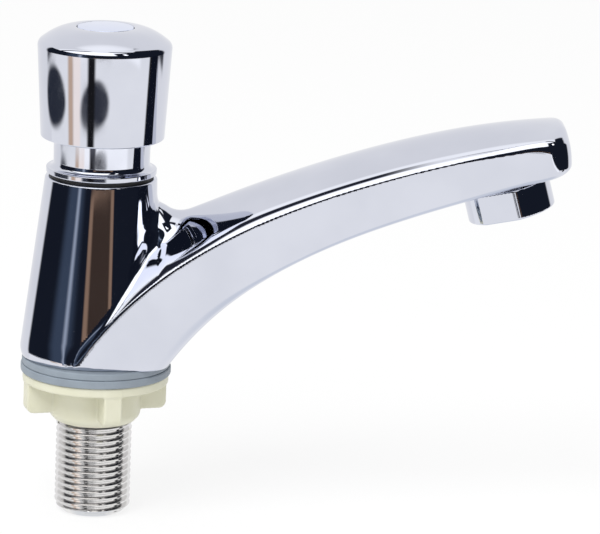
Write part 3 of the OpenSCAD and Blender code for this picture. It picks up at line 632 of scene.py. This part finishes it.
gland = [
    (sleeve_bore_r, gland_top, sleeve_bore_edge), (gland_r, gland_top, small_r),
    (gland_r, groove_top, fine_r), (groove_r, groove_top, fine_r),
    (groove_r, groove_low, fine_r), (gland_r, groove_low, fine_r)]
piece("bonnet_sleeve", turned(skirt + flange + flare + sleeve + gland, count=192), "tap", "chrome", "bonnet")
piece("bonnet_seal", turned(
    [(chamber_r, seal_low[2], fine_r), (seal_high[0], seal_low[2], small_r),
     (seal_high[0], seal_high[2], small_r), (chamber_r, seal_high[2], fine_r)]),
    "tap", "black_rubber", "bonnet_gasket")

# Gasket and washer under the base
layer_edge_r = 0.45
for name, node, body, gap in (
        ("deck_gasket", "base_gasket", "tap", fit_gap),
        ("deck_washer", "clamp_washer", "washer", 2 * fit_gap)):
    low, high = box_mm(node)
    hole_edge = thread_r + gap
    layer = [(hole_edge, low[2], small_r), (high[0], low[2], layer_edge_r), (high[0], high[2], layer_edge_r),
             (hole_edge, high[2], small_r)]
    piece(name, turned(layer, count=160), body, "grey_rubber", node)

# Back nut with finger lugs
nut_low, nut_high = box_mm("back_nut")
nut_top, nut_flange_r, nut_flange_t, hub_r = nut_high[2], 20.2, 2.7, 12.7
lug_h, lug_half, lug_inset, lug_corner, lug_turn, lug_top_gap = 8.4, 2.5, 0.3, 2.0, 15, 0.6
nut_bevel, nut_bevel_in, nut_edge_r, nut_root_r = 1.9, 1.7, 0.5, 0.6


def nut_field(x, y, z):
    """Flange, bevelled hub and four lugs, bored for the thread."""
    r = np.hypot(x, y)
    flange_half = nut_flange_t / 2
    flange = round_and(r - nut_flange_r, np.abs(z - nut_top + flange_half) - flange_half, nut_edge_r)
    slant = math.atan2(nut_bevel_in, nut_bevel)
    cone = (r - hub_r + nut_bevel_in) * math.cos(slant) + (nut_low[2] - z) * math.sin(slant)
    hub = round_and(r - hub_r, cone, nut_edge_r)
    hub = round_and(hub, nut_low[2] - z, nut_edge_r)
    field = round_or(flange, np.maximum(hub, z - nut_top), nut_root_r)
    lug_low = nut_top - nut_flange_t - lug_h
    for turn in (lug_turn, lug_turn + 90):
        a = math.radians(turn)
        along, across = x * math.cos(a) + y * math.sin(a), y * math.cos(a) - x * math.sin(a)
        lug = round_and(np.abs(along) - nut_flange_r + lug_inset, lug_low - z, lug_corner)
        lug = round_and(lug, np.abs(across) - lug_half, nut_edge_r)
        field = round_or(field, np.maximum(lug, z - nut_top + lug_top_gap), nut_root_r)
    return round_and(field, thread_r + 2 * fit_gap - r, soft_r)


piece("lug_nut", skin(nut_field, nut_low - margin, nut_high + margin, nut_step),
      "nut", "ivory_plastic", "back_nut")

# Tail with a helical thread
pitch, thread_depth, tail_bore_r, tail_bevel = 1.814, 1.16, 6.25, 0.95
crest_mid, crest_steep = 0.5, 0.74
strainer_seat_r, strainer_rise, mouth_inset = 7.4, 3.0, 0.9
strainer_z, tail_mouth_r = base_z + strainer_rise, thread_r - thread_depth - mouth_inset


def thread_radius(angle, z):
    """Outside of the tail: a right-handed thread, cut by the bevel at the lower end."""
    wave = np.clip(crest_mid + crest_steep * np.cos(2 * math.pi * z / pitch - angle), 0, 1)
    return np.minimum(thread_r - thread_depth * (1 - wave), tail_mouth_r + (z - tail_low) / tail_bevel)


def tail_shape(count=120, reach=0.01, edge=0.1):
    """Threaded outside whose rows follow the helix, and a bored inside: points, faces and normals."""
    angle = np.linspace(0, 2 * math.pi, count, endpoint=False)
    # Rows over one pitch, closer together at the edges of crest and root
    steps = np.array([-0.15, -0.11, 0, 0.11, 0.15, 0.25, 0.35, 0.39, 0.5, 0.61, 0.65, 0.75])
    turns = np.arange(math.floor(tail_low / pitch) - 1, math.ceil(tail_top / pitch) + 1)
    rows = ((turns[:, None] + steps) * pitch).ravel()
    z = np.clip(rows[None] + pitch * angle[:, None] / (2 * math.pi), tail_low, tail_top)
    around = np.broadcast_to(angle[:, None], z.shape)
    radius = thread_radius(around, z)
    rise = (thread_radius(around, z + reach) - thread_radius(around, z - reach)) / (2 * reach)
    twist = (thread_radius(around + reach, z) - thread_radius(around - reach, z)) / (2 * reach * radius)
    inner = [(strainer_seat_r + edge, tail_top, 0, 1), (strainer_seat_r, tail_top - edge, -1, 0),
             (strainer_seat_r, strainer_z + edge, -1, 0), (strainer_seat_r - edge, strainer_z, 0, 1),
             (tail_bore_r + edge, strainer_z, 0, 1), (tail_bore_r, strainer_z - edge, -1, 0),
             (tail_bore_r, tail_low + edge, -1, 0), (tail_bore_r + edge, tail_low, 0, -1),
             (tail_mouth_r - edge, tail_low, 0, -1)]
    number, points, normals = {}, [], []

    def add(k, r, height, out, spin, lift):
        """Number of the point in column k, made only once for each place."""
        key = (k, round(r, 5), round(height, 5))
        if key not in number:
            number[key] = len(points)
            c, d = math.cos(angle[k]), math.sin(angle[k])
            points.append((r * c, r * d, height))
            normal = np.array([out * c - spin * d, out * d + spin * c, lift])
            normals.append(normal / np.linalg.norm(normal))
        return number[key]

    outside = [[add(k, radius[k, j], z[k, j], 1, -twist[k, j], -rise[k, j]) for j in range(z.shape[1])]
               for k in range(count)]
    inside = [[add(k, r, height, out, 0, lift) for r, height, out, lift in inner] for k in range(count)]
    faces = []
    last = z.shape[1] - 1
    for k in range(count):
        after = (k + 1) % count
        shift = 0 if after else len(steps)
        here, there = outside[k], outside[after]
        for j in range(last):
            low, high = min(j + shift, last), min(j + 1 + shift, last)
            faces.append([here[j], there[low], there[high], here[j + 1]])
        ring = [(here[-1], there[-1])] + list(zip(inside[k], inside[after])) + [(here[0], there[0])]
        faces += [[a, b, d, c] for (a, b), (c, d) in zip(ring, ring[1:])]
    faces = [list(dict.fromkeys(face)) for face in faces]
    return np.array(points), [face for face in faces if len(face) > 2], np.array(normals)


piece("tail", tail_shape(), "tap", "steel", "threaded_tail")

# Aerator shell with its wrench flats
flat_turn, flat_edge_r, ring_edge_r = math.radians(-18), 0.3, 0.45
lip_r, lip_h, aerator_bore_r = 8.4, 1.0, 9.3
shell_low, shell_high = (-13, -13, -9), (13, 13, 8)


def shell_field(x, y, z):
    """Nozzle ring with two flats, on the tube that screws into the spout."""
    r = np.hypot(x, y)
    ring = round_and(r - aerator_r, np.maximum(-aerator_show - z, z + outlet_gap), ring_edge_r)
    flat = np.abs(y * math.cos(flat_turn) - x * math.sin(flat_turn)) - aerator_flats / 2
    ring = round_and(ring, flat, flat_edge_r)
    tube_ends = np.maximum(-aerator_show / 2 - z, z - aerator_thread_h - outlet_gap)
    tube = np.maximum(r - aerator_thread_r, tube_ends)
    field = np.minimum(ring, np.maximum(tube, flat))
    bore = np.maximum(r - aerator_bore_r, lip_h - aerator_show - z)
    return round_and(np.maximum(field, -bore), lip_r - r, soft_r)


points, faces, normals = skin(shell_field, shell_low, shell_high, shell_step)
to_world = np.stack([outlet_x, np.array([0, 1, 0]), outlet_z])
piece("aerator_ring", (outlet + points @ to_world, faces, normals @ to_world),
      "tap", "chrome", "aerator_shell")

# Return spring
spring_low, spring_high = box_mm("return_spring")[0][2], box_mm("return_spring")[1][2]
spring_r, wire_r, spring_turns = 8.2, 0.7, 7


def spring_shape(wire_sides=12, turn_steps=48):
    """Round wire wound along a helix, with closed ends: points and faces, smoothed without own normals."""
    steps = turn_steps * spring_turns
    turn = np.linspace(0, 2 * math.pi * spring_turns, steps + 1)
    centre = np.stack([spring_r * np.cos(turn), spring_r * np.sin(turn),
                       np.linspace(spring_low + wire_r, spring_high - wire_r, steps + 1)], 1)
    along = np.gradient(centre, axis=0)
    along /= np.linalg.norm(along, axis=1)[:, None]
    out = np.stack([np.cos(turn), np.sin(turn), np.zeros_like(turn)], 1)
    side = np.cross(along, out)
    around = 2 * math.pi * np.arange(wire_sides) / wire_sides
    spokes = np.cos(around)[None, :, None] * out[:, None] + np.sin(around)[None, :, None] * side[:, None]
    points = (centre[:, None] + wire_r * spokes).reshape(-1, 3)
    rings = np.arange(len(points)).reshape(-1, wire_sides).tolist()
    faces = [[ring[(k + 1) % wire_sides], after[(k + 1) % wire_sides], after[k], ring[k]]
             for ring, after in zip(rings, rings[1:]) for k in range(wire_sides)]
    return points, faces + [rings[0], rings[-1][::-1]], None


spring = piece("coil_spring", spring_shape(), "tap", "steel", "return_spring")
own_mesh(spring)

# Floor, and a studio surround seen only in reflections, with painted shapes that give the reflections in the
# metal
floor_gap, floor_r, floor_sides, floor_glow = 0.1, 2.2, 96, 0.8
surround_r = 8
floor_z = tail_low - floor_gap


def stage_material(name):
    """Empty material of the stage, and its node tree."""
    mat = bpy.data.materials.new(name)
    mat.use_nodes = True
    mat.node_tree.nodes.clear()
    return mat, mat.node_tree


def staged(name, mesh):
    """Object of the stage, which is no piece of the tap."""
    obj = bpy.data.objects.new(name, mesh)
    bpy.context.scene.collection.objects.link(obj)
    obj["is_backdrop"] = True
    return obj


def linked(tree, kind, *inputs, **settings):
    """New node with settings, its inputs linked or set in order."""
    node = tree.nodes.new(kind)
    for key, value in settings.items():
        setattr(node, key, value)
    for socket, value in zip(node.inputs, inputs):
        if isinstance(value, bpy.types.NodeSocket):
            tree.links.new(value, socket)
        else:
            socket.default_value = value
    return node


def math_node(tree, operation, *inputs):
    """Result of a new math node."""
    return linked(tree, "ShaderNodeMath", *inputs, operation=operation).outputs[0]


floor_mesh = bpy.data.meshes.new("floor")
floor_mesh.from_pydata(
    [(floor_r * math.cos(a), floor_r * math.sin(a), floor_z * MM)
     for a in np.linspace(0, 2 * math.pi, floor_sides, endpoint=False)], [], [list(range(floor_sides))])
floor = staged("floor", floor_mesh)
mat, tree = stage_material("pale_floor")
white = linked(tree, "ShaderNodeEmission", (1, 1, 1, 1), 1.0).outputs[0]
matt = linked(tree, "ShaderNodeBsdfDiffuse", (0.95, 0.95, 0.95, 1)).outputs[0]
path = tree.nodes.new("ShaderNodeLightPath")
seen = math_node(tree, "MAXIMUM", path.outputs["Is Camera Ray"], path.outputs["Is Glossy Ray"])
seen = math_node(tree, "MAXIMUM", seen, path.outputs["Is Transmission Ray"])
glow_share = math_node(tree, "MULTIPLY", seen, floor_glow)
mixed = linked(tree, "ShaderNodeMixShader", glow_share, matt, white).outputs[0]
linked(tree, "ShaderNodeOutputMaterial", mixed)
floor_mesh.materials.append(mat)
floor.visible_glossy = False

sphere = bpy.data.meshes.new("studio_surround")
shell = bmesh.new()
bmesh.ops.create_icosphere(shell, subdivisions=4, radius=surround_r)
shell.to_mesh(sphere)
shell.free()
surround = staged("studio_surround", sphere)
surround.visible_camera = False
surround.visible_diffuse = False
surround.visible_shadow = False
surround.visible_volume_scatter = False
mat, sky = stage_material("studio_surround")
mat.cycles.emission_sampling = "NONE"
place = linked(sky, "ShaderNodeVectorMath", sky.nodes.new("ShaderNodeTexCoord").outputs["Object"],
               operation="NORMALIZE").outputs[0]
axes = linked(sky, "ShaderNodeSeparateXYZ", place).outputs
ahead = math_node(sky, "MULTIPLY", axes[1], -1.0)


def in_degrees(operation, *inputs):
    """Angle of a place on the surround, in degrees."""
    return math_node(sky, "MULTIPLY", math_node(sky, operation, *inputs), 180 / math.pi)


# Angles over the surround: bearing and pitch_up are 0 straight before the object
height, sideways = in_degrees("ARCSINE", axes[2]), in_degrees("ARCSINE", axes[0])
bearing, pitch_up = in_degrees("ARCTAN2", axes[0], ahead), in_degrees("ARCTAN2", axes[2], ahead)


def window(value, low, high, soft):
    """Mask that is 1 between low and high, with soft ends."""
    up = ranged(sky, value, 0.0, 1.0, low - soft, low + soft)
    down = ranged(sky, value, 1.0, 0.0, high - soft, high + soft)
    return math_node(sky, "MULTIPLY", up, down)


def card(*windows):
    """Mask of a card that fills all its windows of (angle, low, high, softness)."""
    mask = window(*windows[0])
    for part in windows[1:]:
        mask = math_node(sky, "MULTIPLY", mask, window(*part))
    return mask


def oval(at_bearing, at_height, half_w, half_h, soft=0.3, lean=0.0):
    """Mask of an oval, which sinks by lean half heights over half its width."""
    off_w = math_node(sky, "MULTIPLY", math_node(sky, "SUBTRACT", bearing, at_bearing), 1 / half_w)
    off_h = math_node(sky, "MULTIPLY", math_node(sky, "SUBTRACT", height, at_height), 1 / half_h)
    off_h = math_node(sky, "ADD", off_h, math_node(sky, "MULTIPLY", off_w, lean))
    squares = [math_node(sky, "MULTIPLY", off, off) for off in (off_w, off_h)]
    return ranged(sky, math_node(sky, "ADD", *squares), 1.0, 0.0, 1 - soft, 1 + soft)


# Tones of the surround, in linear light
paper, ground = (0.90, 0.90, 0.91), (0.80, 0.83, 0.88)
lit, strip, edge_lit, lamp_lit = (1.6, 1.6, 1.6), (1.2, 1.2, 1.2), (1.25, 1.25, 1.25), (2.4, 2.4, 2.4)
night, ink, soot = (0.010, 0.013, 0.022), (0.02, 0.022, 0.035), (0.012, 0.012, 0.014)
slate, smoke = (0.028, 0.033, 0.048), (0.04, 0.044, 0.06)
ash, lead, pewter = (0.12, 0.12, 0.14), (0.10, 0.10, 0.11), (0.25, 0.25, 0.30)
dusk, mist = (0.05, 0.07, 0.11), (0.38, 0.43, 0.52)
tan, brown = (0.30, 0.19, 0.13), (0.055, 0.036, 0.028)
cream, sand = (1.14, 1.02, 0.94), (0.66, 0.48, 0.36)

# Levels of the dark room before the object
room_low, room_top, room_soft, strip_top = -12.8, 31, 0.2, 22

layers = (
    # Wall behind the object, above and below the horizon, and the ground
    (paper, card((pitch_up, 104, 181, 3))),
    (paper, card((pitch_up, -181, -140, 3))),
    (ground, card((height, -95, -52, 10))),
    # Lights overhead, with a dark gap between them that is open in the middle
    (lit, card((pitch_up, 32, 79, 3), (sideways, -75, 75, 5))),
    (strip, card((pitch_up, 85, 102, 6), (sideways, -70, 70, 5))),
    (ink, card((pitch_up, 80, 90, 1.5), (sideways, -70, -13, 2.5))),
    (ink, card((pitch_up, 80, 90, 1.5), (sideways, 4, 70, 2))),
    (pewter, card((pitch_up, 84.3, 86, 0.6), (sideways, -10, 5, 2))),
    # Dark room before the object, higher on the right, where a lamp stands
    (night, card((bearing, -116, 121, 4), (height, room_low, room_top, room_soft))),
    (night, card((bearing, 22, 124, 3), (height, room_top - 1, 63, 1))),
    (lamp_lit, card((bearing, 38, 45, 1), (height, 33, 48, 1))),
    # Pale strips on its left, and a brown panel in a paler frame at its foot
    (dusk, card((bearing, -64, -34, 8), (height, room_low, strip_top, room_soft))),
    (mist, card((bearing, -45, -40, 3), (height, room_low, strip_top, room_soft))),
    (tan, card((bearing, -19, 27, 1.5), (height, -11.1, -8.2, 0.15))),
    (brown, card((bearing, -13, 21, 2), (height, -11.1, -8.4, 0.15))),
    # Light edge below the room, which shows in the sleeve
    (edge_lit, card((bearing, -62, 64, 5), (height, -14.15, room_low, 0.2))),
    # Painted reflections that show in the cap, from left to right
    (slate, oval(-96, -14.5, 24, 1.08, lean=0.83)),
    (cream, card((bearing, -56, -42, 3), (height, -19, -13.5, 0.5))),
    (sand, card((bearing, -66, -56, 3), (height, -19, -13.5, 0.5))),
    (smoke, oval(-16, -16.45, 26, 1.1)),
    (soot, card((bearing, -28.5, -15.5, 3), (height, -19.5, -12.9, 0.5))),
    (soot, card((bearing, 84, 98, 2), (height, -20, room_low, 0.3))),
    # Painted reflections that show in the sleeve
    (ash, card((bearing, -28, -15, 4), (height, -13.9, room_low, 0.3))),
    (lead, oval(-4, -14.1, 17, 0.28, soft=0.5)),
)
view = (1.0, 1.0, 1.0)
for tone, mask in layers:
    view = blended(sky, mask, view, tone)
glow = linked(sky, "ShaderNodeEmission", view, 1.0).outputs[0]
linked(sky, "ShaderNodeOutputMaterial", glow)
sphere.materials.append(mat)

# Light of the world, white to the camera, and a lamp
ambient = 0.75
world = bpy.data.worlds.new("studio")
bpy.context.scene.world = world
world.use_nodes = True
tree = world.node_tree
tree.nodes.clear()
path = tree.nodes.new("ShaderNodeLightPath")
strength = ranged(tree, path.outputs["Is Camera Ray"], ambient, 1.0, 0.0, 1.0)
back = linked(tree, "ShaderNodeBackground", (1, 1, 1, 1), strength).outputs[0]
linked(tree, "ShaderNodeOutputWorld", back)

lamp = bpy.data.lights.new("softbox", "AREA")
lamp.shape, lamp.size, lamp.energy = "DISK", 1.0, 16.0
lamp_aim = Vector((0.05, 0, 0.03))
softbox = bpy.data.objects.new("softbox", lamp)
softbox.location = (-0.5, -0.9, 1.3)
softbox.rotation_euler = (lamp_aim - softbox.location).to_track_quat("-Z", "Y").to_euler()
softbox.visible_glossy = False
bpy.context.scene.collection.objects.link(softbox)

# Camera at the photograph's angle
eye, aim = Vector((0, -1.202177, 0.320593)), Vector((0.0555083, 0, 0.0288450))
roll = math.radians(2.28333)
forward = (aim - eye).normalized()
right = forward.cross(Vector((0, 0, 1))).normalized()
up = right.cross(forward)
level_x = right * math.cos(roll) + up * math.sin(roll)
level_y = up * math.cos(roll) - right * math.sin(roll)
lens = bpy.data.cameras.new("camera")
lens.sensor_fit, lens.sensor_width, lens.lens = "HORIZONTAL", 36, 269.12
lens.clip_start, lens.clip_end = 0.05, 60
camera = bpy.data.objects.new("camera", lens)
camera.matrix_world = Matrix((level_x, level_y, -forward)).transposed().to_4x4()
camera.location = eye
bpy.context.scene.collection.objects.link(camera)
bpy.context.scene.camera = camera
bpy.context.scene.view_settings.view_transform = "Standard"

low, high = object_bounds()
